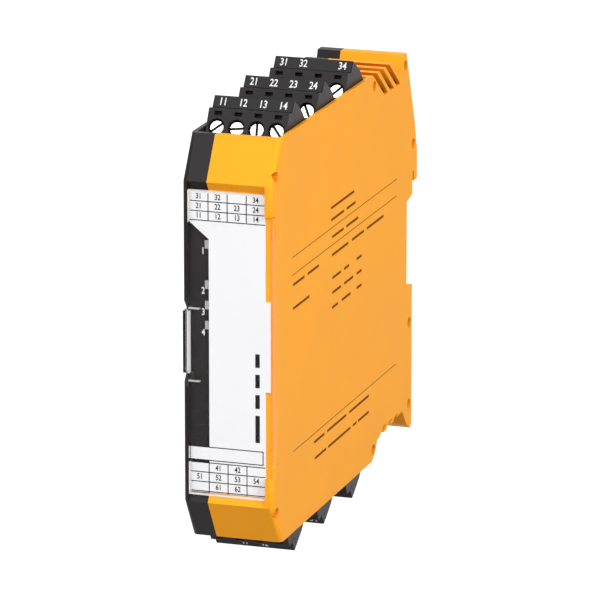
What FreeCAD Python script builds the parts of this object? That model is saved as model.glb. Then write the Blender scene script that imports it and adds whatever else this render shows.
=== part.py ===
import FreeCAD, Part
import os
import re
import Sketcher

# Safety relay for a 35 mm top-hat rail, in millimetres.
# Origin: middle of the rail, on the plane where its face bears on the housing.
# +X to the right seen from the front, +Y from the front towards the rail, +Z up.

SIZES = {
    # overall housing
    "casewidth": 22.5,
    "caseheight": 99.0,
    "casedepth": 114.5,      # cover front to tip of the rail hook
    "leftwidth": 6.05,       # thickness of the left shell
    "sidewall": 1.05,
    "over": 1.0,             # how far a cut runs past the surface it opens
    "frontwall": 1.6,
    "edgeround": 1.2,
    # front, with its set-back label field between two sloped noses
    "sloperun": 6.4,
    "sloperise": 10.2,
    "fielddepth": 1.6,
    "fieldledge": 2.3,
    "notchstart": 0.8,
    "notchlength": 4.9,
    "notchdrop": 0.15,
    "notchheight": 0.8,
    "notchdepth": 0.4,
    "leftflange": 1.2,
    "rightflange": 2.05,
    "fieldreach": 32.0,      # half height of the field where it runs out to the right side
    # rear outline
    "hookreach": 3.8,
    "shoulderinset": 9.3,
    "slantinset": 2.0,
    "slantfoot": 30.1,
    "hookshoulder": 22.5,
    "railheight": 35.0,
    "lipgap": 1.3,
    "lipclear": 0.2,
    "lipgrip": 2.5,
    "bushalf": 10.8,
    "busbevel": 1.0,
    "busdepth": 4.7,
    "footbevel": 1.0,
    "footwidth": 4.2,
    "footheel": 1.7,
    "footrise": 6.2,
    "footslope": 3.8,
    "bellyrise": 4.5,
    "bellystart": 79.0,
    "bellyramp": 3.0,
    "innernose": 5.0,
    "innershelf": 2.5,
    "roofwall": 5.5,
    "shoulderwall": 3.2,
    "slantwall": 4.9,
    "lipwall": 2.0,
    "rearwall": 1.8,
    "buswall": 3.0,
    "footwall": 5.4,
    # vents, with their depths as shares of the stretch from the first to the rear shoulder
    "ventstart": 79.1,
    "ventpitch": 0.195,
    "ventwidth": 0.115,
    "ventrun": 0.352,
    "ventdrop": 6.8,
    "ventcount": 3,
    "wedgeshare": 0.8,
    "wedgelean": 0.077,
    # snap pegs between the shells
    "pegsize": 2.4,
    "pegclear": 0.1,
    "peglength": 4.8,
    "snapsize": 2.7,
    "snapdepth": 2.5,
    "pegfront": 2.75,
    "pegdrop": 8.4,
    "pegmiddle": 78.6,
    "pegedge": 2.9,
    "pegshoulder": 10.2,
    "pegshoulderdrop": 3.2,
    "peghook": 3.3,
    "peghookheight": 24.8,
    "pegfoot": 2.4,
    "pegfootlow": 6.7,
    "pegfoothigh": 28.2,
    # terminals: pitch along the depth, poles across the width
    "plugfirst": 20.0,
    "plugpitch": 22.7,
    "plugstand": 6.2,
    "plugwidth": 20.0,
    "polepitch": 5.0,
    "plugfront": 7.6,
    "plugrear": 8.1,
    "pluglength": 16.0,
    "plugclear": 0.25,
    "faceangle": 29.0,
    "facetop": 4.1,
    "facedrop": 2.2,
    "wireangle": 33.5,
    "wireface": 6.7,
    "reardrop": 6.5,
    "markerangle": 35.4,
    "markerface": 3.19,
    "markerthick": 1.6,
    "screwdown": 4.575,
    "screwhole": 4.2,
    "screwseat": 2.2,
    "screwhead": 3.3,
    "headheight": 1.5,
    "shaftsize": 2.5,
    "shaftlength": 5.0,
    "shaftclear": 0.25,
    "slotwidth": 0.6,
    "slotdepth": 0.7,
    "testup": 3.4,
    "testwidth": 1.9,
    "testheight": 1.0,
    "testdepth": 1.5,
    "entrydown": 4.1,
    "entrywidth": 3.4,
    "entryheight": 3.6,
    "entrydepth": 6.5,
    "clampwall": 0.4,
    "clamplength": 3.4,
    # headers behind the terminals
    "headerfront": 12.0,
    "headergap": 0.1,
    "headerbase": 5.0,
    "headerrim": 9.5,
    "headerback": 7.4,
    "pinsize": 1.0,
    "pinback": 2.5,
    "pinreach": 5.0,
    "pinclear": 0.1,
    "pintail": 2.0,
    "pinstep": 1.6,
    # label card and hinged cover
    "cardthick": 0.4,
    "cardleft": 5.05,
    "cardright": 9.0,
    "cardtop": 29.3,
    "cardbevel": 4.0,
    "cardtab": 11.0,
    "cardtabreach": 1.3,
    "coverthick": 0.9,
    "covergap": 0.15,
    "coverear": 0.8,
    "eardepth": 2.6,
    "eartaper": 6.2,
    "earroot": 0.4,
    "earcorner": 1.2,
    "griphalf": 7.6,
    "griptaper": 3.4,
    "hingesize": 0.6,
    "hingelength": 0.6,
    # light guides
    "guidewidth": 0.9,
    "guideheight": 2.0,
    "guidestand": 0.2,
    "guideinner": 1.3,
    "lampgap": 0.1,
    "guideone": 23.9,
    "guidetwo": 14.1,
    "guidethree": 9.1,
    "guidefour": 4.2,
    # rail foot latch
    "latchwidth": 5.2,
    "latchrail": 1.8,
    "latchrailthick": 2.0,
    "latchclear": 0.2,
    "latchfront": 5.1,
    "latchback": 0.8,
    "latchtop": 14.5,
    "latchbottom": 48.0,
    "latchsole": 4.3,
    "nosechamfer": 1.5,
    "nosebevel": 1.0,
    "eyelow": 1.4,
    "eyehigh": 3.0,
    "windowwidth": 3.6,
    "windowtop": 30.0,
    "windowlength": 11.6,
    "stopheight": 2.0,
    "springturns": 5,
    "springstrip": 0.5,
    "springwidth": 3.0,
    "springclear": 0.5,
    # circuit board and what it carries
    "boardthick": 1.6,
    "boardfront": 4.6,
    "boardclear": 1.2,
    "boardgap": 0.4,
    "relaydeep": 28.0,
    "relaytall": 26.5,
    "relaywide": 15.4,
    "relayfront": 34.0,
    "relaygap": 1.2,
    "coilfront": 68.0,
    "coildeep": 22.0,
    "coiltall": 24.0,
    "coilwide": 14.0,
    "capsize": 10.0,
    "caplength": 13.0,
    "capfront": 75.0,
    "caplow": 10.0,
    "cappitch": 12.0,
    "chipsize": 8.0,
    "chipthick": 1.6,
    "chipfront": 16.0,
    "chippitch": 14.0,
    "lampsize": 1.6,
}

doc = FreeCAD.newDocument("SafetyRelay")
sheet = doc.addObject("Spreadsheet::Sheet", "Sizes")
for row, (alias, number) in enumerate(SIZES.items(), start=1):
    sheet.set(f"A{row}", alias)
    sheet.set(f"B{row}", str(number))
    sheet.setAlias(f"B{row}", alias)
doc.recompute()

FUNCTIONS = ("sin", "cos", "tan", "deg", "mm")
HALF = "casewidth / 2"
TOP = "caseheight / 2"
FRONT = "(hookreach - casedepth)"
SPLIT = "(leftwidth - casewidth / 2)"
INNER = "(casewidth / 2 - sidewall)"
NOSE = "(caseheight / 2 - sloperise)"
BOARD = f"(boardthick - {INNER})"
ROWS = ("front", "middle", "rear")
POLES = (-1.5, -0.5, 0.5, 1.5)
PARTS = []


def bound(formula):
    """Turns a formula in plain size names into one that reads the sheet."""
    def cell(match):
        word = match.group()
        return word if word in FUNCTIONS else "Sizes." + word
    return re.sub(r"[a-z]+", cell, str(formula))


def value(formula):
    """The number that a formula gives now."""
    answer = sheet.evalExpression(bound(formula))
    return float(getattr(answer, "Value", answer))


def dimension(sketch, kind, geometry, point, formula):
    """One dimension from the sketch's origin, bound to the sheet."""
    number = sketch.addConstraint(
        Sketcher.Constraint(kind, -1, 1, geometry, point, value(formula)))
    sketch.setExpression(f"Constraints[{number}]", bound(formula))


def draw_outline(sketch, corners):
    """A closed outline of straight edges, with each corner dimensioned."""
    first = sketch.GeometryCount
    count = len(corners)
    points = [FreeCAD.Vector(value(across), value(up), 0) for across, up in corners]
    for i in range(count):
        sketch.addGeometry(Part.LineSegment(points[i], points[(i + 1) % count]))
    for i in range(count):
        following = first + (i + 1) % count
        sketch.addConstraint(Sketcher.Constraint("Coincident", first + i, 2, following, 1))
    for i, (across, up) in enumerate(corners):
        dimension(sketch, "DistanceX", first + i, 1, across)
        dimension(sketch, "DistanceY", first + i, 1, up)


def draw_circle(sketch, across, up, diameter):
    """A circle with its centre and diameter dimensioned."""
    middle = FreeCAD.Vector(value(across), value(up), 0)
    circle = sketch.addGeometry(
        Part.Circle(middle, FreeCAD.Vector(0, 0, 1), value(diameter) / 2))
    dimension(sketch, "DistanceX", circle, 3, across)
    dimension(sketch, "DistanceY", circle, 3, up)
    number = sketch.addConstraint(Sketcher.Constraint("Diameter", circle, value(diameter)))
    sketch.setExpression(f"Constraints[{number}]", bound(diameter))


def rectangle(left, right, low, high):
    """The corners of an upright rectangle."""
    return [(left, low), (right, low), (right, high), (left, high)]


def small_ring(sides, across, up, size):
    """The corners of a small round hole or peg, drawn with a few flats to keep it light."""
    angles = [f"{360 * i / sides} * 1 deg" for i in range(sides)]
    return [(f"{across} + ({size}) / 2 * cos({angle})", f"{up} + ({size}) / 2 * sin({angle})")
            for angle in angles]


def new_body(label):
    """A sub-part made of sketches and features."""
    body = doc.addObject("PartDesign::Body", label)
    body.Label = label
    PARTS.append(body)
    return body


def new_sketch(body, plane, offset, loops, base=None, turn=None):
    """A sketch on one of the body's origin planes, moved along its normal or tilted about X."""
    sketch = body.newObject("Sketcher::SketchObject", "Sketch")
    support = [f for f in body.Origin.OriginFeatures if f.Role == plane]
    sketch.AttachmentSupport = [(support[0], "")]
    sketch.MapMode = "FlatFace"
    if base is None:
        sketch.setExpression("AttachmentOffset.Base.z", bound(offset))
    else:
        turned = FreeCAD.Rotation(FreeCAD.Vector(1, 0, 0), value(turn))
        sketch.AttachmentOffset = FreeCAD.Placement(FreeCAD.Vector(0, 0, 0), turned)
        sketch.setExpression("AttachmentOffset.Base.y", bound(base[0]))
        sketch.setExpression("AttachmentOffset.Base.z", bound(base[1]))
        sketch.setExpression("AttachmentOffset.Rotation.Angle", bound(f"({turn}) * 1 deg"))
    for loop in loops:
        if loop[0] == "circle":
            draw_circle(sketch, *loop[1:])
        else:
            draw_outline(sketch, loop)
    return sketch


def extrude(body, kind, plane, low, high, loops):
    """Adds (Pad) or cuts (Pocket) between two coordinates along the plane's normal."""
    along_y = plane == "XZ_Plane"
    offset = f"-({low})" if along_y else low
    sketch = new_sketch(body, plane, offset, loops)
    feature = body.newObject("PartDesign::" + kind, kind)
    feature.Profile = sketch
    feature.setExpression("Length", bound(f"({high}) - ({low})"))
    feature.Reversed = along_y if kind == "Pad" else not along_y
    doc.recompute()
    return feature


def pad(body, plane, low, high, *loops):
    return extrude(body, "Pad", plane, low, high, loops)


def pocket(body, plane, low, high, *loops):
    return extrude(body, "Pocket", plane, low, high, loops)


def sink(body, base, turn, depth, *loops):
    """Cuts square into a sloped face, whose plane is XY turned about X at a point."""
    sketch = new_sketch(body, "XY_Plane", None, loops, base, turn)
    feature = body.newObject("PartDesign::Pocket", "Pocket")
    feature.Profile = sketch
    feature.setExpression("Length", bound(depth))
    doc.recompute()
    return feature


def round_edges(body, feature, chosen):
    """Rounds the edges of a feature that a test on their middle point picks."""
    names = [f"Edge{i}" for i, edge in enumerate(feature.Shape.Edges, start=1)
             if chosen(edge.CenterOfMass)]
    fillet = body.newObject("PartDesign::Fillet", "Fillet")
    fillet.Base = (feature, names)
    fillet.setExpression("Radius", bound("edgeround"))
    doc.recompute()
    return fillet


def bind(thing, **formulas):
    """Binds properties of a primitive to the sheet; x, y and z are its place."""
    for name, formula in formulas.items():
        target = {"x": "Placement.Base.x", "y": "Placement.Base.y",
                  "z": "Placement.Base.z"}.get(name, name)
        thing.setExpression(target, bound(formula))
    return thing


def box(**formulas):
    return bind(doc.addObject("Part::Box", "Box"), **formulas)


def gather(label, pieces):
    """Several separate solids of one kind, in one named sub-part."""
    group = doc.addObject("Part::Compound", label)
    group.Label = label
    group.Links = pieces
    PARTS.append(group)
    return group


# ---------------------------------------------------------------- housing shells

def side_outline():
    """The side view of both shells, from the front nose over the top to the rail hook."""
    shoulder = f"{FRONT} + casedepth - shoulderinset"
    slant = f"{FRONT} + casedepth - slantinset"
    foot = "-footwidth"
    return [
        (FRONT, NOSE),
        (f"{FRONT} + sloperun", TOP),
        (shoulder, TOP),
        (slant, "slantfoot"),
        ("hookreach", "hookshoulder"),
        ("hookreach", "railheight / 2 - lipgrip"),
        ("lipgap", "railheight / 2 - lipgrip"),
        ("lipgap", "railheight / 2 + lipclear"),
        ("0", "railheight / 2 + lipclear"),
        ("0", "bushalf + busbevel"),
        ("-busdepth", "bushalf"),
        ("-busdepth", "-bushalf"),
        ("0", "-(bushalf + busbevel)"),
        ("0", f"footbevel - {TOP}"),
        ("-footbevel", f"-{TOP}"),
        (foot, f"footheel - {TOP}"),
        (f"{foot} - footslope", f"footrise - {TOP}"),
        (f"{FRONT} + bellystart + bellyramp", f"bellyrise - {TOP}"),
        (f"{FRONT} + bellystart", f"-{TOP}"),
        (f"{FRONT} + sloperun", f"-{TOP}"),
        (FRONT, f"-{NOSE}"),
    ]


def terminals_end():
    """Depth where the last header ends."""
    rows = len(ROWS)
    return f"{FRONT} + plugfirst + {rows} * plugpitch - headerfront - headergap"


def hollow_outline():
    """The side view of the hollow, open above and below where the headers stand."""
    inside = f"{FRONT} + fielddepth + frontwall"
    opening = f"{FRONT} + plugfirst - headerfront"
    corner = f"({NOSE} - innernose)"
    shelf = f"({NOSE} + innershelf)"
    above = f"{TOP} + over"
    belly = f"bellyrise + rearwall - {TOP}"
    wall = "-(busdepth + rearwall)"
    slant = f"{FRONT} + casedepth - slantinset - slantwall"
    return [
        (inside, f"-{corner}"), (inside, corner),
        (opening, shelf), (opening, above),
        (terminals_end(), above), (terminals_end(), f"{TOP} - roofwall"),
        (f"{FRONT} + casedepth - shoulderinset - shoulderwall", f"{TOP} - roofwall"),
        (slant, "slantfoot - rearwall"),
        (slant, "railheight / 2 + lipclear + lipwall"),
        (wall, "bushalf + buswall"), (wall, f"footrise + footwall - {TOP}"),
        (f"{wall} - buswall", belly),
        (terminals_end(), belly),
        (terminals_end(), f"-({above})"), (opening, f"-({above})"),
        (opening, f"-{shelf}"),
    ]


VENTS = "(casedepth - shoulderinset - ventstart)"


def vent_slots(way):
    """Slanted slots at the rear of the top (way 1) or, mirrored, of the bottom (way -1)."""
    top = f"{way} * ({TOP} + over)"
    foot = f"{way} * ({TOP} - ventdrop)"
    lead = f"{VENTS} * ventrun * over / ventdrop"
    slots = []
    for i in range(int(value("ventcount"))):
        left, right = (f"({FRONT} + ventstart + {VENTS} * ({i} * ventpitch {sign} ventwidth / 2))"
                       for sign in "-+")
        slots.append([
            (f"{left} - {lead}", top), (f"{right} - {lead}", top),
            (f"{right} + {VENTS} * ventrun", foot), (f"{left} + {VENTS} * ventrun", foot)])
    return slots


def vent_wedge(way):
    """The three-cornered pocket behind the last slot."""
    top = f"{way} * ({TOP} + over)"
    left = f"({FRONT} + ventstart + {VENTS} * (ventcount * ventpitch - ventwidth / 2))"
    foot = f"({left} + {VENTS} * ventrun * wedgeshare)"
    right = f"{foot} + {VENTS} * wedgelean"
    return [(f"{left} - {VENTS} * ventrun * over / ventdrop", top), (right, top),
            (right, f"{way} * {TOP}"), (foot, f"{way} * ({TOP} - ventdrop * wedgeshare)")]


def peg_places():
    """Where the left shell's snap pegs enter the right shell, as depth and height."""
    rear = f"{FRONT} + casedepth"
    return [
        (f"{FRONT} + pegfront", f"{TOP} - pegdrop"),
        (f"{FRONT} + pegfront", f"pegdrop - {TOP}"),
        (f"{FRONT} + pegmiddle", f"{TOP} - pegedge"),
        (f"{FRONT} + pegmiddle", f"pegedge - {TOP}"),
        (f"{rear} - pegshoulder", f"{TOP} - pegshoulderdrop"),
        (f"{rear} - peghook", "peghookheight"),
    ]


def foot_places():
    """The two blind snap holes in the foot, where the latch leaves no room for pegs."""
    return [("-pegfoot", f"pegfootlow - {TOP}"), ("-pegfoot", f"pegfoothigh - {TOP}")]


def label_field(body, low, high):
    """The set-back field for the label card, with a sloped ledge at each end."""
    lead = "over * fieldledge / fielddepth"
    pocket(body, "YZ_Plane", low, high, [
        (f"{FRONT} - over", f"-({NOSE} + {lead})"), (f"{FRONT} + fielddepth", f"-({NOSE} - fieldledge)"),
        (f"{FRONT} + fielddepth", f"{NOSE} - fieldledge"), (f"{FRONT} - over", f"{NOSE} + {lead}")])


def hinge_place():
    """Depth and height of the cover's hinge line."""
    return f"{FRONT} + coverthick - hingesize / 2", f"-({NOSE} - fieldledge)"


def in_front(point):
    return point.y < value(f"{FRONT} + sloperun")


def build_right_shell():
    """Deep orange shell: right wall, front, top, bottom, rail hook and latch channel."""
    body = new_body("right_shell")
    inside, outside = f"{SPLIT} - over", f"{HALF} + over"
    block = pad(body, "YZ_Plane", SPLIT, HALF, side_outline())
    round_edges(body, block, lambda p: in_front(p) and abs(p.x - value(HALF)) < 0.01)
    pocket(body, "YZ_Plane", inside, INNER, hollow_outline())
    label_field(body, inside, f"{HALF} - rightflange")
    pocket(body, "YZ_Plane", f"{HALF} - rightflange - over", outside,
           rectangle(f"{FRONT} - over", f"{FRONT} + fielddepth", "-fieldreach", "fieldreach"))
    rim = f"{FRONT} + eardepth + covergap"
    pocket(body, "YZ_Plane", f"{HALF} - coverear - covergap", outside, [
        (f"{FRONT} + over", "-fieldreach"), (rim, "eartaper - fieldreach - covergap"),
        (rim, "fieldreach + covergap - eartaper"), (f"{FRONT} + over", "fieldreach")])
    pocket(body, "XZ_Plane", f"{FRONT} - over", f"{FRONT} + fielddepth + notchdepth", rectangle(
        f"{SPLIT} + notchstart", f"{SPLIT} + notchstart + notchlength",
        f"fieldledge - {NOSE} - notchdrop - notchheight", f"fieldledge - {NOSE} - notchdrop"))
    depth, height = hinge_place()
    pocket(body, "YZ_Plane", f"{HALF} - rightflange - over", f"{HALF} - rightflange + hingelength",
           ("circle", depth, height, "hingesize + 2 * covergap"))
    for way in (1, -1):
        pocket(body, "YZ_Plane", inside, outside, *vent_slots(way))
        pocket(body, "YZ_Plane", inside, outside, vent_wedge(way))
    holes = [small_ring(12, y, z, "snapsize") for y, z in peg_places() + foot_places()]
    pocket(body, "YZ_Plane", f"{HALF} - snapdepth", outside, *holes)
    sockets = [small_ring(8, y, z, "pegsize + 2 * pegclear") for y, z in peg_places()]
    pocket(body, "YZ_Plane", inside, f"{SPLIT} + peglength + 2 * pegclear", *sockets)
    build_latch_channel(body)


def build_latch_channel(body):
    """A T-shaped channel up the rear foot, with the stop that the latch spring bears on."""
    neck = "latchwidth / 2 + latchclear"
    wide = "latchwidth / 2 + latchrail + latchclear"
    front = "-latchfront - latchclear"
    step = "latchrailthick - latchfront + latchclear"
    low, high = f"-{TOP} - over", "busbevel - bushalf"
    pocket(body, "YZ_Plane", f"-({wide})", wide, rectangle(front, step, low, high))
    pocket(body, "YZ_Plane", f"-({neck})", neck, rectangle(f"{step} - over", "over", low, high))
    stop = "-(windowtop + windowlength - latchclear / 2)"
    pad(body, "YZ_Plane", "latchclear - windowwidth / 2", "windowwidth / 2 - latchclear",
        rectangle(f"{front} - over", "-latchback", stop, f"{stop} + stopheight"))


def build_left_shell():
    """Shallow black shell: left wall, strip with the lamp windows, and the snap pegs."""
    body = new_body("left_shell")
    inside, outside = f"{SPLIT} + over", f"-{HALF} - over"
    block = pad(body, "YZ_Plane", f"-{HALF}", SPLIT, side_outline())
    round_edges(body, block, lambda p: in_front(p) and abs(p.x + value(HALF)) < 0.01)
    pocket(body, "YZ_Plane", f"-{INNER}", inside, hollow_outline())
    label_field(body, f"leftflange - {HALF}", inside)
    deep = "(eardepth + covergap)"
    rim = f"{FRONT} + {deep}"
    grip = "(griphalf + covergap)"
    flare = f"({grip} + griptaper * ({deep} + over) / {deep})"
    pocket(body, "YZ_Plane", outside, f"leftflange - {HALF} + over", [
        (f"{FRONT} - over", f"-{flare}"), (rim, f"-{grip}"),
        (rim, grip), (f"{FRONT} - over", flare)])
    depth, height = hinge_place()
    pocket(body, "YZ_Plane", f"leftflange - {HALF} - hingelength", f"leftflange - {HALF} + over",
           ("circle", depth, height, "hingesize + 2 * covergap"))
    windows = [rectangle(f"{SPLIT} - guidewidth", inside, f"{z} - guideheight / 2",
                         f"{z} + guideheight / 2") for z in GUIDES.values()]
    face = f"{FRONT} + fielddepth"
    pocket(body, "XZ_Plane", f"{face} - over", f"{face} + frontwall + over", *windows)
    for way in (1, -1):
        pocket(body, "YZ_Plane", outside, inside, *vent_slots(way))
        pocket(body, "YZ_Plane", outside, inside, vent_wedge(way))
    pegs = [small_ring(8, y, z, "pegsize") for y, z in peg_places()]
    pad(body, "YZ_Plane", f"{SPLIT} - over", f"{SPLIT} + peglength", *pegs)


# ---------------------------------------------------------------- front

GUIDES = {
    "light_guide_power": "guideone",
    "light_guide_inputs": "guidetwo",
    "light_guide_channel_one": "guidethree",
    "light_guide_channel_two": "guidefour",
}


def build_label_card():
    """Thin card behind the cover: wide at both ends for the terminal tables, with a side tab."""
    end = f"({NOSE} - fieldledge)"
    wide = f"(casewidth / 2 - leftflange - covergap)"
    body = new_body("label_card")
    pad(body, "XZ_Plane", f"{FRONT} + fielddepth - cardthick", f"{FRONT} + fielddepth", [
        (f"-{wide}", f"-{end}"), ("cardright", f"-{end}"),
        ("cardright", "-cardtab"), ("cardright + cardtabreach", "-cardtab"),
        ("cardright + cardtabreach", "cardtab"), ("cardright", "cardtab"),
        ("cardright", end), (f"-{wide}", end),
        (f"-{wide}", "cardtop"), ("-cardleft", "cardtop - cardbevel"),
        ("-cardleft", "-cardtop"), (f"-{wide}", "-cardtop")])


def build_cover():
    """Clear cover: a plate with an ear round the right side, a finger grip on the left
    and two small hinge pins at its lower end."""
    body = new_body("clear_cover")
    depth, height = hinge_place()
    left = f"(leftflange + covergap - {HALF})"
    right = f"({HALF} - rightflange - covergap)"
    reach = "(fieldreach - covergap)"
    back = f"{FRONT} + coverthick"
    foot = f"{height} - coverthick / 2"
    crown = f"{NOSE} - fieldledge + covergap"
    pad(body, "XZ_Plane", FRONT, back, [
        (left, foot), (right, foot), (right, f"-{reach}"), (HALF, f"-{reach}"),
        (HALF, reach), (right, reach), (right, crown), (left, crown),
        (left, "griphalf"), (f"-{HALF}", "griphalf"), (f"-{HALF}", "-griphalf"),
        (left, "-griphalf")])
    rim = f"{FRONT} + eardepth"
    root = f"{back} - earroot"
    pad(body, "YZ_Plane", f"{HALF} - coverear", HALF, [
        (root, f"earcorner - {reach}"), (rim, f"eartaper - {reach}"),
        (rim, f"{reach} - eartaper"), (root, f"{reach} - earcorner")])
    pad(body, "YZ_Plane", f"-{HALF}", f"coverear - {HALF}", rectangle(
        root, rim, "-griphalf", "griphalf"))
    for low, high in ((f"{left} - hingelength + covergap", f"{left} + over"),
                      (f"{right} - over", f"{right} + hingelength - covergap")):
        pad(body, "YZ_Plane", low, high, ("circle", depth, height, "hingesize"))


def build_light_guides():
    """Clear blocks that carry the lamps' light through the left shell's front."""
    for label, height in GUIDES.items():
        body = new_body(label)
        face = f"{FRONT} + fielddepth"
        pad(body, "XZ_Plane", f"{face} - guidestand", f"{face} + frontwall", rectangle(
            f"{SPLIT} - guidewidth", SPLIT, f"{height} - guideheight / 2",
            f"{height} + guideheight / 2"))
        pad(body, "XZ_Plane", f"{face} + frontwall", f"{face} + frontwall + guideinner", rectangle(
            f"{SPLIT} - guidewidth - lampsize", SPLIT,
            f"{height} - guideheight / 2", f"{height} + guideheight / 2"))


# ---------------------------------------------------------------- terminals

PLUG_TILT = "90 - faceangle"


def face_point(down):
    """A point on the screw face, at a distance down from its upper edge."""
    return (f"-(facetop + ({down}) * sin(faceangle * 1 deg))",
            f"-(facedrop + ({down}) * cos(faceangle * 1 deg))")


def wire_point(down, deeper="0"):
    """A point on the wire face, at a distance down from the rear corner."""
    return (f"({down}) * cos(wireangle * 1 deg) - ({deeper}) * sin(wireangle * 1 deg)",
            f"-({down}) * sin(wireangle * 1 deg) - ({deeper}) * cos(wireangle * 1 deg)")


def marker_corners():
    """The section of the marker strip that forms the plug's top corner."""
    run = "markerface * sin(markerangle * 1 deg)"
    drop = "markerface * cos(markerangle * 1 deg)"
    back, low = wire_point("markerthick")
    return [("0", "0"), (f"-{run}", f"-{drop}"), (f"-{run} + {back}", f"-{drop} + {low}"),
            (back, low)]


def build_plug(label, place):
    """Plug-in screw terminal: a sloped screw face in front and wire entries behind."""
    body = new_body(label + "_housing")
    ledge, under, crown = marker_corners()[1:]
    half = "plugwidth / 2"
    kink = "-(facedrop + (plugfront - facetop) / tan(faceangle * 1 deg))"
    pad(body, "YZ_Plane", f"-{half}", half, [
        crown, wire_point("wireface"), ("plugrear", "-reardrop"), ("plugrear", "-pluglength"),
        ("-plugfront", "-pluglength"), ("-plugfront", kink), face_point("0"), ledge, under])
    xs = [f"{pole} * polepitch" for pole in POLES]
    seat = face_point("screwdown")
    sink(body, seat, PLUG_TILT, "screwseat", *[small_ring(12, x, "0", "screwhole") for x in xs])
    sink(body, seat, PLUG_TILT, "screwseat + shaftlength + shaftclear",
         *[small_ring(6, x, "0", "shaftsize + 2 * shaftclear") for x in xs])
    sink(body, face_point("screwdown - testup"), PLUG_TILT, "testdepth",
         *[rectangle(f"{x} - testwidth / 2", f"{x} + testwidth / 2",
                     "-testheight / 2", "testheight / 2") for x in xs])
    sink(body, wire_point("entrydown"), "-wireangle", "entrydepth",
         *[rectangle(f"{x} - entrywidth / 2", f"{x} + entrywidth / 2",
                     "-entryheight / 2", "entryheight / 2") for x in xs])
    hole = "(pinsize / 2 + pinclear)"
    pocket(body, "XY_Plane", "-pluglength - over", "pinreach + pinclear - pluglength",
           *[rectangle(f"{x} - {hole}", f"{x} + {hole}", f"pinback - {hole}", f"pinback + {hole}")
             for x in xs])
    strip = new_body(label + "_marker_strip")
    pad(strip, "YZ_Plane", f"-{half}", half, marker_corners())
    screws = build_screws(label + "_screws", seat)
    clamps = build_clamps(label + "_wire_clamps")
    for piece in (body, strip, screws, clamps):
        place(piece)


def build_screws(label, seat):
    """Slotted clamping screws, each turned to its own angle, as they stand in use."""
    screws = []
    turned = FreeCAD.Rotation(FreeCAD.Vector(1, 0, 0), value(PLUG_TILT))
    for number, pole in enumerate(POLES):
        head = bind(doc.addObject("Part::Prism", "Head"), Circumradius="screwhead / 2",
                    Height="headheight", z="-screwseat")
        head.Polygon = 12
        shaft = bind(doc.addObject("Part::Prism", "Shaft"), Circumradius="shaftsize / 2",
                     Height="shaftlength", z="-screwseat - shaftlength")
        shaft.Polygon = 6
        slot = box(Length="screwhead + over", Width="slotwidth", Height="slotdepth + over",
                   x="-(screwhead + over) / 2", y="-slotwidth / 2",
                   z="headheight - screwseat - slotdepth")
        whole = doc.addObject("Part::Fuse", "Fuse")
        whole.Base, whole.Tool = head, shaft
        screw = doc.addObject("Part::Cut", "Screw")
        screw.Base, screw.Tool = whole, slot
        spin = FreeCAD.Rotation(FreeCAD.Vector(0, 0, 1), 50 + 47 * number)
        screw.Placement = FreeCAD.Placement(FreeCAD.Vector(0, 0, 0), turned.multiply(spin))
        bind(screw, x=f"{pole} * polepitch", y=seat[0], z=seat[1])
        screws.append(screw)
    return gather(label, screws)


def build_clamps(label):
    """Square brass cages at the bottom of the wire entries."""
    clamps = []
    turned = FreeCAD.Rotation(FreeCAD.Vector(1, 0, 0), -value("wireangle"))
    foot = wire_point("entrydown", "entrydepth")
    for pole in POLES:
        outer = box(Length="entrywidth", Width="entryheight", Height="clamplength",
                    x="-entrywidth / 2", y="-entryheight / 2")
        inner = box(Length="entrywidth - 2 * clampwall", Width="entryheight - 2 * clampwall",
                    Height="clamplength", x="clampwall - entrywidth / 2",
                    y="clampwall - entryheight / 2", z="clampwall")
        clamp = doc.addObject("Part::Cut", "Clamp")
        clamp.Base, clamp.Tool = outer, inner
        clamp.Placement = FreeCAD.Placement(FreeCAD.Vector(0, 0, 0), turned)
        bind(clamp, x=f"{pole} * polepitch", y=foot[0], z=foot[1])
        clamps.append(clamp)
    return gather(label, clamps)


def build_header(label, place, way):
    """Black pin header: a trough that the plug sits in, with pins bent to the board."""
    body = new_body(label + "_header")
    floor = "-(pluglength + pinclear)"
    base = "-(pluglength + pinclear + headerbase)"
    rear = "plugpitch - headerfront - headergap"
    pad(body, "YZ_Plane", f"-{INNER}", INNER, [
        ("-headerfront", base), (rear, base), (rear, "-headerback"),
        ("plugrear + plugclear", "-headerback"), ("plugrear + plugclear", floor),
        ("-(plugfront + plugclear)", floor), ("-(plugfront + plugclear)", "-headerrim"),
        ("-headerfront", "-headerrim")])
    xs = [f"{pole} * polepitch" for pole in POLES]
    pocket(body, "XY_Plane", f"{base} - over", f"{floor} + over",
           *[rectangle(f"{x} - pinsize / 2", f"{x} + pinsize / 2",
                       "pinback - pinsize / 2", "pinback + pinsize / 2") for x in xs])
    pins = new_body(label + "_pins")
    board = f"{way} * {BOARD}"
    tip = f"{floor} + pinreach"
    loops = []
    for number, pole in enumerate(POLES):
        near, far = (f"{way} * (({pole}) * polepitch {sign} pinsize / 2)" for sign in "-+")
        leg = f"({base} - pintail - {number} * pinstep)"
        loops.append([(near, tip), (near, f"{leg} + pinsize"), (board, f"{leg} + pinsize"),
                      (board, leg), (far, leg), (far, tip)])
    pad(pins, "XZ_Plane", "pinback - pinsize / 2", "pinback + pinsize / 2", *loops)
    for piece in (body, pins):
        place(piece)


def terminal_place(number, way):
    """Places a piece drawn about its terminal's rear corner, above or upside down below."""
    def place(piece):
        turn = 0 if way > 0 else 180
        piece.Placement = FreeCAD.Placement(
            FreeCAD.Vector(0, 0, 0), FreeCAD.Rotation(FreeCAD.Vector(0, 1, 0), turn))
        bind(piece, y=f"{FRONT} + plugfirst + {number} * plugpitch",
             z=f"{way} * ({TOP} + plugstand)")
    return place


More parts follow.
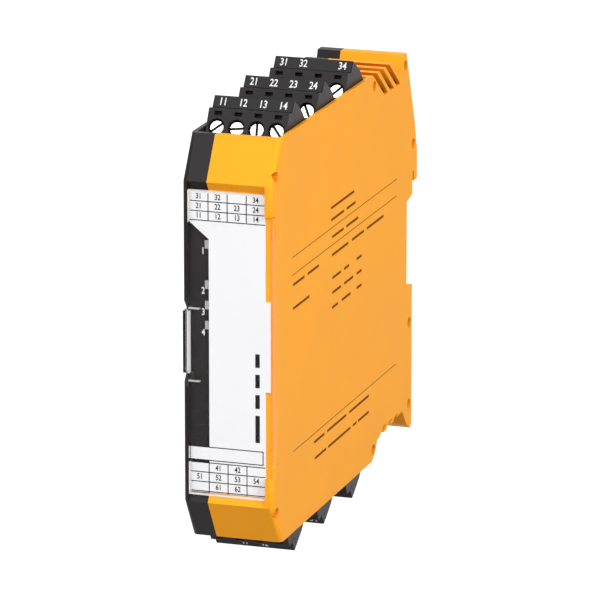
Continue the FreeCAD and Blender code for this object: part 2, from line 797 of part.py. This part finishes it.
def build_terminals():
    """Three terminals above and three below, each with its header."""
    for side, way in (("upper", 1), ("lower", -1)):
        for number, row in enumerate(ROWS):
            place = terminal_place(number, way)
            build_plug(f"{side}_{row}_plug", place)
            build_header(f"{side}_{row}", place, way)


# ---------------------------------------------------------------- rail foot

def build_latch():
    """Sliding rail foot: a nose behind the rail's lower lip and an eye for a screwdriver."""
    body = new_body("rail_foot_latch")
    back = "-latchback"
    sole = "railheight / 2 + lipclear + latchclear / 2"
    nose = "(hookreach - latchclear)"
    tip = "-(railheight / 2 - lipgrip)"
    pad(body, "YZ_Plane", "-latchwidth / 2", "latchwidth / 2", [
        ("-latchfront", "-latchbottom"), (back, "-latchbottom"), (back, f"-({sole}) - latchsole"),
        (nose, f"-({sole}) - latchsole"), (nose, f"{tip} - nosechamfer"),
        (f"{nose} - nosebevel", tip), ("lipgap", tip), ("lipgap", f"-({sole})"),
        (back, f"-({sole})"), (back, "-latchtop"), ("-latchfront", "-latchtop")])
    wings = "(latchwidth / 2 + latchrail)"
    pad(body, "YZ_Plane", f"-{wings}", wings, rectangle(
        "-latchfront", "latchrailthick - latchfront", "-(windowtop + windowlength)", "-latchtop"))
    window = rectangle("-windowwidth / 2", "windowwidth / 2",
                       "-(windowtop + windowlength)", "-windowtop")
    eye = rectangle("-latchwidth / 4", "latchwidth / 4",
                    "eyelow - latchbottom", "eyehigh - latchbottom")
    pocket(body, "XZ_Plane", "-latchfront - over", "over", window, eye)


def build_spring():
    """Flat zigzag spring in the latch's window, between its upper end and the fixed stop."""
    length = "(windowlength - stopheight - latchclear / 2)"
    step = f"(({length} - springstrip) / springturns)"
    front, back = "springclear - latchfront", "-latchback - springclear"
    pieces = []
    for i in range(int(value("springturns")) + 1):
        low = f"-windowtop - springstrip - {i} * {step}"
        pieces.append(box(Length="springwidth", Width=f"({back}) - ({front})", Height="springstrip",
                          x="-springwidth / 2", y=front, z=low))
        if i:
            side = front if i % 2 else f"{back} - springstrip"
            pieces.append(box(Length="springwidth", Width="springstrip", Height=f"{step}",
                              x="-springwidth / 2", y=side, z=low))
    spring = doc.addObject("Part::MultiFuse", "latch_spring")
    spring.Label = "latch_spring"
    spring.Shapes = pieces
    PARTS.append(spring)


# ---------------------------------------------------------------- electronics

def on_board(**formulas):
    """A block that stands on the board's face."""
    return box(x=BOARD, **formulas)


def single(label, thing):
    thing.Label = label
    PARTS.append(thing)
    return thing


def build_board():
    """Main circuit board on the left shell's wall, between the upper and lower headers."""
    board = new_body("main_circuit_board")
    half = f"({TOP} + plugstand - pluglength - pinclear - headerbase - boardgap)"
    pad(board, "YZ_Plane", f"-{INNER}", BOARD, rectangle(
        f"{FRONT} + boardfront", "-(busdepth + rearwall + boardclear)", f"-{half}", half))


def build_components():
    """Two safety relays, transformer, smoothing capacitors, control chips and lamps."""
    relay = dict(Length="relaywide", Width="relaydeep", Height="relaytall", y=f"{FRONT} + relayfront")
    single("upper_relay", on_board(z="relaygap / 2", **relay))
    single("lower_relay", on_board(z="-relaygap / 2 - relaytall", **relay))
    single("transformer", on_board(Length="coilwide", Width="coildeep", Height="coiltall",
                                   y=f"{FRONT} + coilfront", z="relaygap"))
    caps = []
    for i in range(2):
        cap = doc.addObject("Part::Cylinder", "Capacitor")
        cap.Placement = FreeCAD.Placement(
            FreeCAD.Vector(0, 0, 0), FreeCAD.Rotation(FreeCAD.Vector(0, 1, 0), 90))
        caps.append(bind(cap, Radius="capsize / 2", Height="caplength", x=BOARD,
                         y=f"{FRONT} + capfront", z=f"-caplow - {i} * cappitch"))
    gather("capacitors", caps)
    chips = [on_board(Length="chipthick", Width="chipsize", Height="chipsize",
                      y=f"{FRONT} + chipfront", z=f"{i} * chippitch - chipsize / 2")
             for i in (-1, 0, 1)]
    gather("control_chips", chips)
    lamps = [on_board(Length="lampsize", Width="lampsize", Height="lampsize",
                      y=f"{FRONT} + fielddepth + frontwall + guideinner + lampgap",
                      z=f"{height} - lampsize / 2") for height in GUIDES.values()]
    gather("indicator_lamps", lamps)


build_right_shell()
build_left_shell()
build_label_card()
build_cover()
build_light_guides()
build_terminals()
build_latch()
build_spring()
build_board()
build_components()

doc.recompute()
for thing in doc.Objects:
    if "Invalid" in thing.State or "Error" in thing.State:
        raise RuntimeError(f"{thing.Label} failed: {thing.State}")
for part in PARTS:
    if part.Shape.isNull() or not part.Shape.isValid():
        raise RuntimeError(f"{part.Label} has no valid shape")
os.makedirs("parts", exist_ok=True)
for part in PARTS:
    part.Shape.exportStep(f"parts/{part.Label}.step")
    print(f"{part.Label:32s} {len(part.Shape.Solids)} solid(s) {part.Shape.Volume:10.1f} mm3")
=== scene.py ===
import math

import bpy
from mathutils import Matrix, Vector


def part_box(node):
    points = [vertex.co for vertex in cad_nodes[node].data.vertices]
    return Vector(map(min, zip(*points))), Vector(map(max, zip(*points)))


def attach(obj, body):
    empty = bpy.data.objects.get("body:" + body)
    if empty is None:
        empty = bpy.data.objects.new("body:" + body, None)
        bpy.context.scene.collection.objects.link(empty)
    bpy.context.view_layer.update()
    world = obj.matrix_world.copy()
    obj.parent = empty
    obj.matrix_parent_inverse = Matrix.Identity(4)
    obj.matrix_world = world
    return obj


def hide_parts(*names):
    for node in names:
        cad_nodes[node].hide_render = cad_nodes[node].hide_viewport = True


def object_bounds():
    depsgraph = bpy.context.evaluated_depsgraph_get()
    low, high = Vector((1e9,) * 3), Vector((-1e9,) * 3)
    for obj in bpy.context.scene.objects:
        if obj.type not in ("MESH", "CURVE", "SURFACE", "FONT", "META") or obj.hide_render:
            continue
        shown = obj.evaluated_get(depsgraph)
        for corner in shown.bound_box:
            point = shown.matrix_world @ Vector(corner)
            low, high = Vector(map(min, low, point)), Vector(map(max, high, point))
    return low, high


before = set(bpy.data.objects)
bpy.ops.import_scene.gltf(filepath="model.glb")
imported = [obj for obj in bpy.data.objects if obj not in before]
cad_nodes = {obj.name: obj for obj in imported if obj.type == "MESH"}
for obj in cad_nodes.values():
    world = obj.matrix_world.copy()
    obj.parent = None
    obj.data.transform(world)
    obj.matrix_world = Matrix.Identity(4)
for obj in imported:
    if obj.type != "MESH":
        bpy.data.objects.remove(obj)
cad_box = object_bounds()


# ------------------------------------------------------------------ camera
# The relay is seen from its front, a little from the right and from above,
# through a long lens, as a catalogue picture shows such a product.

mm = 0.001
camera_place = Vector((418.9, -1319.7, 353.3)) * mm
camera_aim = Vector((0, -53.7, 0)) * mm
bpy.ops.object.camera_add(location=camera_place)
camera = bpy.context.object
camera.name = "relay_camera"
camera.rotation_euler = (camera_aim - camera_place).to_track_quat("-Z", "Y").to_euler()
camera.data.lens = 337.3
camera.data.shift_x = -0.006
camera.data.shift_y = -0.0217
camera.data.clip_start = 0.05
camera.data.clip_end = 50
bpy.context.scene.camera = camera
bpy.context.scene.view_settings.view_transform = "Standard"


# ------------------------------------------------------------------ studio floor and lights
# A plain pale floor, low enough for the lower terminals to be drawn out, and a white
# surround, with large soft lamps on the right, in front, high up, and behind on the left.

plug_travel = 12 * mm
floor_gap = 0.5 * mm
floor_level = cad_box[0].z - plug_travel - floor_gap
bpy.ops.mesh.primitive_plane_add(size=14, location=(0, 2.5, floor_level))
floor = bpy.context.object
floor.name = "studio_floor"


def worked_out(tree, operation, first, second):
    """The outcome of one sum on two outputs or numbers."""
    step = tree.nodes.new("ShaderNodeMath")
    step.operation = operation
    for socket, given in zip(step.inputs, (first, second)):
        if isinstance(given, float):
            socket.default_value = given
        else:
            tree.links.new(given, socket)
    return step.outputs[0]


def seen_rays(tree):
    """One for what is seen straight, in a shiny surface or through clear plastic, and
    nought for the rays that carry light on to a dull surface."""
    path = tree.nodes.new("ShaderNodeLightPath")
    seen = path.outputs["Is Camera Ray"]
    for ray in ("Is Glossy Ray", "Is Transmission Ray"):
        seen = worked_out(tree, "MAXIMUM", seen, path.outputs[ray])
    undimmed = worked_out(tree, "LESS_THAN", path.outputs["Diffuse Depth"], 0.5)
    return worked_out(tree, "MULTIPLY", seen, undimmed)


def mix_looks(tree, share, first, second):
    """A mix of two shaders: all of the first at a share of nought, of the second at one."""
    mix = tree.nodes.new("ShaderNodeMixShader")
    for socket, given in zip(mix.inputs, (share, first, second)):
        tree.links.new(given, socket)
    return mix.outputs[0]


floor_paint = bpy.data.materials.new("studio_floor_paint")
floor_paint.use_nodes = True
floor_tree = floor_paint.node_tree
painted = floor_tree.nodes["Principled BSDF"]
painted.inputs["Base Color"].default_value = (0.4, 0.4, 0.4, 1)
painted.inputs["Roughness"].default_value = 0.9
glow = floor_tree.nodes.new("ShaderNodeEmission")
glow.inputs["Color"].default_value = (0.7, 0.7, 0.7, 1)
glowing = floor_tree.nodes.new("ShaderNodeAddShader")
floor_tree.links.new(painted.outputs[0], glowing.inputs[0])
floor_tree.links.new(glow.outputs[0], glowing.inputs[1])
floor_look = mix_looks(floor_tree, seen_rays(floor_tree), painted.outputs[0], glowing.outputs[0])
floor_tree.links.new(floor_look, floor_tree.nodes["Material Output"].inputs["Surface"])
floor.data.materials.append(floor_paint)

surround = bpy.data.worlds.new("studio_surround")
bpy.context.scene.world = surround
surround.use_nodes = True
surround_tree = surround.node_tree
soft = surround_tree.nodes["Background"]
soft.inputs["Color"].default_value = (1, 1, 1, 1)
soft.inputs["Strength"].default_value = 0.3
white = surround_tree.nodes.new("ShaderNodeBackground")
white.inputs["Color"].default_value = (1, 1, 1, 1)
white.inputs["Strength"].default_value = 1.0
surround_look = mix_looks(surround_tree, seen_rays(surround_tree), soft.outputs[0],
                          white.outputs[0])
surround_tree.links.new(surround_look, surround_tree.nodes["World Output"].inputs["Surface"])


def studio_lamp(name, place, size, watts):
    """A large soft lamp that faces the relay."""
    bpy.ops.object.light_add(type="AREA", location=place)
    lamp = bpy.context.object
    lamp.name = name
    lamp.rotation_euler = (camera_aim - Vector(place)).to_track_quat("-Z", "Y").to_euler()
    lamp.data.shape = "DISK"
    lamp.data.size = size
    lamp.data.energy = watts


studio_lamp("lamp_right", (1.5, -0.7, 1.0), 0.9, 27)
studio_lamp("lamp_front", (-0.1, -2.0, 0.6), 1.0, 12)
studio_lamp("lamp_high", (-0.55, -1.15, 1.55), 0.8, 13)
studio_lamp("lamp_back", (-1.3, 1.3, 1.1), 1.0, 20)


# ------------------------------------------------------------------ housing shells
# Two injection-moulded shells of glass-filled polyamide: a deep orange one that is
# open on its left, and a shallow black one that snaps into it with small pegs.

def moulded_plastic(name, colour, roughness, mottle=0.04, grain=0.2, gloss=0.3):
    """Moulded plastic: a slow drift of its colour and gloss, and a fine eroded grain."""
    finish = bpy.data.materials.new(name)
    finish.use_nodes = True
    tree = finish.node_tree
    shader = tree.nodes["Principled BSDF"]
    shader.inputs["Specular IOR Level"].default_value = gloss
    place = tree.nodes.new("ShaderNodeTexCoord")
    drift = tree.nodes.new("ShaderNodeTexNoise")
    drift.inputs["Scale"].default_value = 45
    drift.inputs["Detail"].default_value = 4
    tree.links.new(place.outputs["Object"], drift.inputs["Vector"])
    tint = tree.nodes.new("ShaderNodeValToRGB")
    tint.color_ramp.elements[0].position = 0.3
    tint.color_ramp.elements[1].position = 0.7
    for stop, level in zip(tint.color_ramp.elements, (1 - mottle, 1 + mottle)):
        stop.color = (*[min(1, channel * level) for channel in colour], 1)
    tree.links.new(drift.outputs["Fac"], tint.inputs["Fac"])
    tree.links.new(tint.outputs["Color"], shader.inputs["Base Color"])
    sheen = tree.nodes.new("ShaderNodeMapRange")
    sheen.inputs["To Min"].default_value = roughness - 0.05
    sheen.inputs["To Max"].default_value = roughness + 0.05
    tree.links.new(drift.outputs["Fac"], sheen.inputs["Value"])
    tree.links.new(sheen.outputs["Result"], shader.inputs["Roughness"])
    erosion = tree.nodes.new("ShaderNodeTexNoise")
    erosion.inputs["Scale"].default_value = 2600
    erosion.inputs["Detail"].default_value = 2
    tree.links.new(place.outputs["Object"], erosion.inputs["Vector"])
    bump = tree.nodes.new("ShaderNodeBump")
    bump.inputs["Strength"].default_value = grain
    bump.inputs["Distance"].default_value = 0.04 * mm
    tree.links.new(erosion.outputs["Fac"], bump.inputs["Height"])
    tree.links.new(bump.outputs["Normal"], shader.inputs["Normal"])
    return finish


def dress(node, finish, edge=0.0):
    """Gives a carried-over solid its finish, and breaks its sharp edges by a given width."""
    solid = cad_nodes[node]
    for holder in solid.material_slots:
        holder.material = finish
    if edge:
        weld = solid.modifiers.new("joined", "WELD")
        weld.merge_threshold = 0.002 * mm
        flats = solid.modifiers.new("flats", "DECIMATE")
        flats.decimate_type = "DISSOLVE"
        flats.angle_limit = math.radians(1)
        broken = solid.modifiers.new("broken_edges", "BEVEL")
        broken.width = edge
        broken.segments = 2
        broken.limit_method = "ANGLE"
        broken.angle_limit = math.radians(40)
        broken.use_clamp_overlap = True


orange_plastic = moulded_plastic("orange_case_plastic", (0.96, 0.38, 0.017), 0.46,
                                 mottle=0.025, gloss=0.06)
black_plastic = moulded_plastic("black_case_plastic", (0.015, 0.0125, 0.0125), 0.42, gloss=0.12)
dress("right_shell", orange_plastic, edge=0.25 * mm)
dress("left_shell", black_plastic, edge=0.25 * mm)


# ------------------------------------------------------------------ side print
# Pad-printed in brown ink on the right wall: three long rules, and plain bars in
# rows where ratings and notes stand on such a product.

brown_ink = moulded_plastic("brown_ink", (0.15, 0.045, 0.004), 0.6, mottle=0.15, gloss=0.02)
case_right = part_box("right_shell")[1].x
ink_thickness = 0.03 * mm
ink_sunk = 0.01 * mm


def print_bars(name, bars, turn, place, finish, body):
    """Printed bars, each given as left, right, low and high on the printed face."""
    bpy.ops.object.select_all(action="DESELECT")
    strokes = []
    for left, right, low, high in bars:
        bpy.ops.mesh.primitive_plane_add(size=1)
        stroke = bpy.context.object
        stroke.scale = ((right - left) * mm, (high - low) * mm, 1)
        stroke.location = ((left + right) / 2 * mm, (low + high) / 2 * mm, 0)
        strokes.append(stroke)
    for stroke in strokes:
        stroke.select_set(True)
    bpy.ops.object.join()
    printed = bpy.context.object
    printed.name = name
    bpy.ops.object.transform_apply()
    printed.data.transform(Matrix.Translation(place) @ turn)
    ink = printed.modifiers.new("ink", "SOLIDIFY")
    ink.thickness = ink_thickness
    ink.offset = 0
    bpy.ops.object.modifier_apply(modifier="ink")
    printed.data.materials.append(finish)
    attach(printed, body)


def word_row(low, *words):
    """A row of bars as high as small print, one for each word."""
    foot = low + 0.5
    top = low + 1.15
    return [(left, right, foot, top) for left, right in words]


def rule(left, right, height):
    """One long thin rule, given by its two ends and its height."""
    half_weight = 0.1
    return [(left, right, height - half_weight, height + half_weight)]


side_bars = (
    rule(-96.3, -13.5, 18.8) + rule(-96.3, -13.5, 14.45) + rule(-95.5, -13.6, -29.3)
    + word_row(23.0, (-66.5, -48.2))
    + word_row(20.0, (-66.5, -56.3), (-54.3, -47.2))
    + word_row(15.6, (-65.8, -56.6), (-54.6, -45))
    + word_row(11.1, (-95.7, -87), (-84.6, -76), (-65.8, -53), (-50, -40.3), (-38, -24.3))
    + word_row(5.3, (-95.7, -83.3), (-65.5, -58.7), (-56.2, -52.2), (-46.2, -42.2))
    + word_row(1.6, (-65.5, -58.7), (-56.2, -49), (-46.2, -42.2))
    + word_row(-2.1, (-65.8, -61), (-58, -51), (-46.2, -42.2))
    + word_row(-32.3, (-79.7, -71.6), (-69.5, -54.2), (-52, -36))
    + word_row(-36.5, (-79, -70.1), (-68.6, -50.9), (-49, -46), (-44.8, -36)))
# what is drawn to the right runs to the rail, and what is drawn up stands up
facing_right = Matrix(((0, 0, 1, 0), (1, 0, 0, 0), (0, 1, 0, 0), (0, 0, 0, 1)))
print_bars("side_print", side_bars, facing_right,
           Vector((case_right - ink_sunk, 0, 0)), brown_ink, "housing")


# ------------------------------------------------------------------ label card
# A thin white card in the set-back field, held by the cover, with the terminal
# tables printed at both ends, four plain upright bars, and a blank field to write
# on, which a tab carries out over the black strip.

card_stock = moulded_plastic("label_card_stock", (0.9, 0.895, 0.905), 0.6, mottle=0.01)
dress("label_card", card_stock)
tab_middle = (-7.475 * mm, -109.3 * mm, -27.375 * mm)
tab_size = (4.85 * mm, 0.4 * mm, 3.25 * mm)
bpy.ops.object.select_all(action="DESELECT")
bpy.ops.mesh.primitive_cube_add(size=1, location=tab_middle)
card_tab = bpy.context.object
card_tab.name = "label_card_field_tab"
card_tab.scale = tab_size
bpy.ops.object.transform_apply(location=False)
corners = card_tab.modifiers.new("corners", "BEVEL")
corners.width = 0.08 * mm
corners.segments = 2
bpy.ops.object.modifier_apply(modifier="corners")
card_tab.data.transform(Matrix.Translation(card_tab.location))
card_tab.location = (0, 0, 0)
card_tab.data.materials.append(card_stock)
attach(card_tab, "housing")
black_ink = moulded_plastic("black_ink", (0.014, 0.013, 0.014), 0.6, mottle=0.15, gloss=0.02)
facing_front = Matrix.Rotation(math.radians(90), 4, "X")
card_face = Vector((0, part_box("label_card")[0].y - ink_thickness / 2, 0))


def thin_line(left, right, low, high, weight=0.22):
    """An upright or level printed line, given by its two ends."""
    half_weight = weight / 2
    return (left - half_weight, right + half_weight, low - half_weight, high + half_weight)


column_edges = (-5.15, -0.4, 4.35)
card_lines = []
for levels, (top, foot) in (((36.75, 34.4, 32.0, 29.75), (36.9, 29.75)),
                            ((-29.65, -32.0, -34.4, -36.75), (-29.65, -36.9))):
    card_lines += [thin_line(-9.8, 8.9, level, level) for level in levels]
    card_lines += [thin_line(x, x, foot, top) for x in column_edges]
field_foot = -29.0
field_top = -25.75
field_right = 8.4
card_lines += [thin_line(-9.75, field_right, level, level) for level in (field_foot, field_top)]
card_lines += [thin_line(field_right, field_right, field_foot, field_top),
               (-9.85, -5.05, -29.65, field_foot)]
card_lines += [(6.5, 7.6, low, high) for low, high in
               ((-23.6, -16.9), (-15.2, -11.8), (-10.1, -6.8), (-5.1, -1.8))]
print_bars("label_card_lines", card_lines, facing_front, card_face, black_ink,
           "housing")


def print_numbers(name, numbers, height, turn, place, finish, body):
    """Printed numbers, each given as its text and its middle on the printed face."""
    figure_share = 0.7
    narrowing = 0.78
    thickening = 0.03 * mm
    bpy.ops.object.select_all(action="DESELECT")
    written = []
    for text, x, y in numbers:
        bpy.ops.object.text_add(location=(x * mm, y * mm, 0))
        letter = bpy.context.object
        letter.data.body = text
        letter.data.size = height / figure_share * mm
        letter.data.align_x = "CENTER"
        letter.data.align_y = "CENTER"
        letter.data.extrude = ink_thickness / 2
        letter.data.offset = thickening
        letter.data.resolution_u = 3
        letter.scale.x = narrowing
        written.append(letter)
    for letter in written:
        letter.select_set(True)
    bpy.ops.object.convert(target="MESH")
    bpy.ops.object.join()
    printed = bpy.context.object
    printed.name = name
    bpy.ops.object.transform_apply()
    printed.data.transform(Matrix.Translation(place) @ turn)
    printed.data.materials.clear()
    printed.data.materials.append(finish)
    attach(printed, body)


columns = (-7.5, -2.8, 2.0, 6.65)
row_heights = {"upper_rear": 35.55, "upper_middle": 33.2, "upper_front": 30.9,
               "lower_front": -30.85, "lower_middle": -33.2, "lower_rear": -35.6}
pole_numbers = {"upper_rear": ("31", "32", "", "34"), "upper_middle": ("21", "22", "23", "24"),
                "upper_front": ("11", "12", "13", "14"), "lower_front": ("", "41", "42", ""),
                "lower_middle": ("51", "52", "53", "54"), "lower_rear": ("", "61", "62", "")}
table_numbers = [(text, x, row_heights[terminal]) for terminal, row in pole_numbers.items()
                 for text, x in zip(row, columns) if text]
print_numbers("label_card_numbers", table_numbers, 1.35, facing_front, card_face, black_ink,
              "housing")


# ------------------------------------------------------------------ light guides
# Four small frosted blocks that carry the indicator lamps' light to the front,
# each with a small white number beside it on the black strip.

frosted_plastic = moulded_plastic("light_guide_plastic", (0.42, 0.42, 0.43), 0.3)
for guide in ("power", "inputs", "channel_one", "channel_two"):
    dress("light_guide_" + guide, frosted_plastic)
white_ink = moulded_plastic("white_ink", (0.85, 0.85, 0.85), 0.5, mottle=0.05)
strip_face = Vector((0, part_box("label_card")[1].y - ink_thickness / 2, 0))
lamp_number_x = -6.6
lamp_heights = (22.2, 12.5, 7.3, 2.3)
lamp_numbers = [(str(lamp), lamp_number_x, height) for lamp, height in enumerate(lamp_heights, 1)]
print_numbers("lamp_numbers", lamp_numbers, 1.6, facing_front, strip_face, white_ink,
              "housing")


# ------------------------------------------------------------------ clear cover
# One clear moulding that covers the card, hinged at its lower end, with an ear
#  round the right side and a finger grip on the left, and with painted highlights: its rim is
#  whitened in patches where its edges catch light.

clear_plastic = bpy.data.materials.new("clear_cover_plastic")
clear_plastic.use_nodes = True
cover_tree = clear_plastic.node_tree
shader = cover_tree.nodes["Principled BSDF"]
shader.inputs["Base Color"].default_value = (0.93, 0.935, 0.94, 1)
shader.inputs["Transmission Weight"].default_value = 1
shader.inputs["Roughness"].default_value = 0.02
shader.inputs["IOR"].default_value = 1.14
shader.inputs["Specular IOR Level"].default_value = 0.05
place = cover_tree.nodes.new("ShaderNodeTexCoord")
ripple = cover_tree.nodes.new("ShaderNodeTexNoise")
ripple.inputs["Scale"].default_value = 60
cover_tree.links.new(place.outputs["Object"], ripple.inputs["Vector"])
bump = cover_tree.nodes.new("ShaderNodeBump")
bump.inputs["Strength"].default_value = 0.15
bump.inputs["Distance"].default_value = 0.05 * mm
cover_tree.links.new(ripple.outputs["Fac"], bump.inputs["Height"])
cover_tree.links.new(bump.outputs["Normal"], shader.inputs["Normal"])
apart = cover_tree.nodes.new("ShaderNodeSeparateXYZ")
cover_tree.links.new(place.outputs["Object"], apart.inputs[0])


def between(axis, low, high):
    """One where a place on the cover lies between two positions, else nought."""
    above = worked_out(cover_tree, "GREATER_THAN", apart.outputs[axis], low * mm)
    below = worked_out(cover_tree, "LESS_THAN", apart.outputs[axis], high * mm)
    return worked_out(cover_tree, "MULTIPLY", above, below)


# painted highlights: patches along the top and bottom edges, the left lugs, the finger grip and
# two short lines turn partly white, standing in for the light that the cover's edges catch
painted_highlight_places = ((-9.9, 8.9, 36.75, 37.2), (-9.9, 8.9, -37.5, -37.1), (-9.9, -9.5, 29.8, 37.2),
                  (-9.9, -9.5, -37.5, -29.5), (-9.9, -9.55, -7.6, 7.6),
                  (-9.9, -7.1, 8.2, 8.45), (-9.9, -7.1, -9.6, -9.4))
highlight_share = 0.6
painted_highlight_share = 0.0
for left, right, low, high in painted_highlight_places:
    patch = worked_out(cover_tree, "MULTIPLY", between("X", left, right), between("Z", low, high))
    painted_highlight_share = worked_out(cover_tree, "MAXIMUM", patch, painted_highlight_share)
painted_highlight_share = worked_out(cover_tree, "MULTIPLY", painted_highlight_share, highlight_share)
# the white of the painted highlights on the cover's rim
painted_highlight_white = cover_tree.nodes.new("ShaderNodeBsdfPrincipled")
painted_highlight_white.inputs["Base Color"].default_value = (0.85, 0.83, 0.8, 1)
painted_highlight_white.inputs["Roughness"].default_value = 0.5
highlighted_cover = mix_looks(cover_tree, painted_highlight_share, shader.outputs[0], painted_highlight_white.outputs[0])
through = cover_tree.nodes.new("ShaderNodeBsdfTransparent")
path = cover_tree.nodes.new("ShaderNodeLightPath")
lighting = worked_out(cover_tree, "MAXIMUM", path.outputs["Is Shadow Ray"],
                      path.outputs["Is Diffuse Ray"])
cover_look = mix_looks(cover_tree, lighting, highlighted_cover, through.outputs[0])
cover_tree.links.new(cover_look, cover_tree.nodes["Material Output"].inputs["Surface"])
dress("clear_cover", clear_plastic, edge=0.15 * mm)


# ------------------------------------------------------------------ terminals
# Six plug-in screw terminals of black polyamide, three above and three below, each
# with its numbered marker strip, slotted screws and nickelled wire cages.

terminal_plastic = moulded_plastic("terminal_plastic", (0.022, 0.019, 0.02), 0.4, gloss=0.1)
marker_plastic = moulded_plastic("marker_plastic", (0.008, 0.007, 0.008), 0.33, gloss=0.1)
# painted shade: a near-black finish that the slot cut passes on to the slot's own faces,
# darkening the screw slots where shade falls
painted_slot_shade = moulded_plastic("painted_slot_shade", (0.03, 0.03, 0.03), 0.6)


def metal(name, colour, roughness, mottle, grain=0.2):
    """Metal, with the same slow drift and fine grain as the plastics."""
    finish = moulded_plastic(name, colour, roughness, mottle, grain)
    finish.node_tree.nodes["Principled BSDF"].inputs["Metallic"].default_value = 1
    return finish


screw_steel = metal("screw_steel", (0.56, 0.56, 0.58), 0.3, mottle=0.06, grain=0.1)
nickelled_brass = metal("nickelled_brass", (0.62, 0.58, 0.5), 0.35, mottle=0.1)

# one screw head, made upright, which is copied, leaned and turned for each pole
screw_radius = 1.65 * mm
screw_length = 1.5 * mm
screw_middle = -1.45 * mm
slot_size = (4 * mm, 0.6 * mm, 1.0 * mm)
slot_middle = -0.9 * mm
bpy.ops.object.select_all(action="DESELECT")
bpy.ops.mesh.primitive_cylinder_add(vertices=40, radius=screw_radius, depth=screw_length,
                                    location=(0, 0, screw_middle))
screw = bpy.context.object
screw.name = "terminal_screw"
screw.data.materials.append(screw_steel)
bpy.ops.mesh.primitive_cube_add(size=1, location=(0, 0, slot_middle))
slot_tool = bpy.context.object
slot_tool.scale = slot_size
slot_tool.data.materials.append(painted_slot_shade)
cut = screw.modifiers.new("slot", "BOOLEAN")
cut.object = slot_tool
cut.solver = "EXACT"
# the slot's faces take over the cutter's painted shade finish
cut.material_mode = "TRANSFER"
rim = screw.modifiers.new("rim", "BEVEL")
rim.width = 0.14 * mm
rim.segments = 2
rim.limit_method = "ANGLE"
rim.angle_limit = math.radians(50)
bpy.ops.object.select_all(action="DESELECT")
screw.select_set(True)
bpy.context.view_layer.objects.active = screw
bpy.ops.object.transform_apply()
bpy.ops.object.modifier_apply(modifier="slot")
bpy.ops.object.modifier_apply(modifier="rim")
bpy.data.objects.remove(slot_tool)

# places in mm: heights and depths on a terminal are from its outermost level and its
# own depth on the case, and the lower terminals are the upper ones turned over
plug_depths = (("front", -90.7), ("middle", -68.0), ("rear", -45.3))
plug_corner_height = 55.7
pole_places = (-7.5, -2.5, 2.5, 7.5)
screw_lean = math.radians(61)
screw_seat_y = -6.318
screw_seat_z = -6.201
slot_turns = (40, 8, 95, 130, 62, 15, 80, 118, 140, 30, 165, 45)
marker_lean = math.radians(54.6)
marker_y = -1.848
marker_z = -2.6
number_lift = 1.55
for side, way in (("upper", 1), ("lower", -1)):
    upright = Matrix.Rotation(0 if way > 0 else math.pi, 4, "Y")
    for number, (row, depth) in enumerate(plug_depths):
        terminal = f"{side}_{row}"
        corner = Matrix.Translation((0, depth * mm, way * plug_corner_height * mm)) @ upright
        dress(terminal + "_plug_housing", terminal_plastic, edge=0.15 * mm)
        dress(terminal + "_plug_marker_strip", marker_plastic, edge=0.15 * mm)
        dress(terminal + "_plug_wire_clamps", nickelled_brass)
        dress(terminal + "_header", terminal_plastic)
        dress(terminal + "_pins", nickelled_brass)
        heads = []
        for pole, x in enumerate(pole_places):
            head = screw.copy()
            head.data = screw.data.copy()
            bpy.context.collection.objects.link(head)
            slot_turn = math.radians(slot_turns[number * len(pole_places) + pole])
            head.data.transform(
                corner @ Matrix.Translation((x * mm, screw_seat_y * mm, screw_seat_z * mm))
                @ Matrix.Rotation(screw_lean, 4, "X") @ Matrix.Rotation(slot_turn, 4, "Z"))
            heads.append(head)
        bpy.ops.object.select_all(action="DESELECT")
        for head in heads:
            head.select_set(True)
        bpy.context.view_layer.objects.active = heads[0]
        bpy.ops.object.join()
        screws = bpy.context.object
        screws.name = terminal + "_screw_heads"
        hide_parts(terminal + "_plug_screws")
        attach(screws, terminal + "_plug")
        labels = [(text, x, number_lift * way)
                  for text, x in zip(pole_numbers[terminal], pole_places) if text]
        lean = marker_lean if way > 0 else math.pi - marker_lean
        face = corner.translation + Vector((0, marker_y, marker_z * way)) * mm
        print_numbers(terminal + "_marker_numbers", labels, 1.9,
                      Matrix.Rotation(lean, 4, "X"), face, white_ink,
                      terminal + "_plug")
bpy.data.objects.remove(screw)


# ------------------------------------------------------------------ rail foot
# A black sliding latch at the foot of the back, which grips the lower lip of the
# rail and is pushed up by a flat zigzag spring.

spring_steel = metal("spring_steel", (0.4, 0.4, 0.4), 0.3, mottle=0.08)
dress("rail_foot_latch", terminal_plastic, edge=0.2 * mm)
dress("latch_spring", spring_steel)


# ------------------------------------------------------------------ electronics
# The circuit board inside the shells, with its two relays, transformer, capacitors,
# chips and indicator lamps, all plain solids of the usual size.

board_laminate = moulded_plastic("board_laminate", (0.02, 0.16, 0.06), 0.3)
relay_plastic = moulded_plastic("relay_plastic", (0.75, 0.74, 0.68), 0.4)
component_plastic = moulded_plastic("component_plastic", (0.03, 0.03, 0.035), 0.45)
capacitor_sleeve = moulded_plastic("capacitor_sleeve", (0.03, 0.05, 0.12), 0.3)
lamp_plastic = moulded_plastic("lamp_plastic", (0.35, 0.6, 0.3), 0.3)
for node, finish in (("main_circuit_board", board_laminate), ("upper_relay", relay_plastic),
                     ("lower_relay", relay_plastic), ("transformer", component_plastic),
                     ("capacitors", capacitor_sleeve), ("control_chips", component_plastic),
                     ("indicator_lamps", lamp_plastic)):
    dress(node, finish)
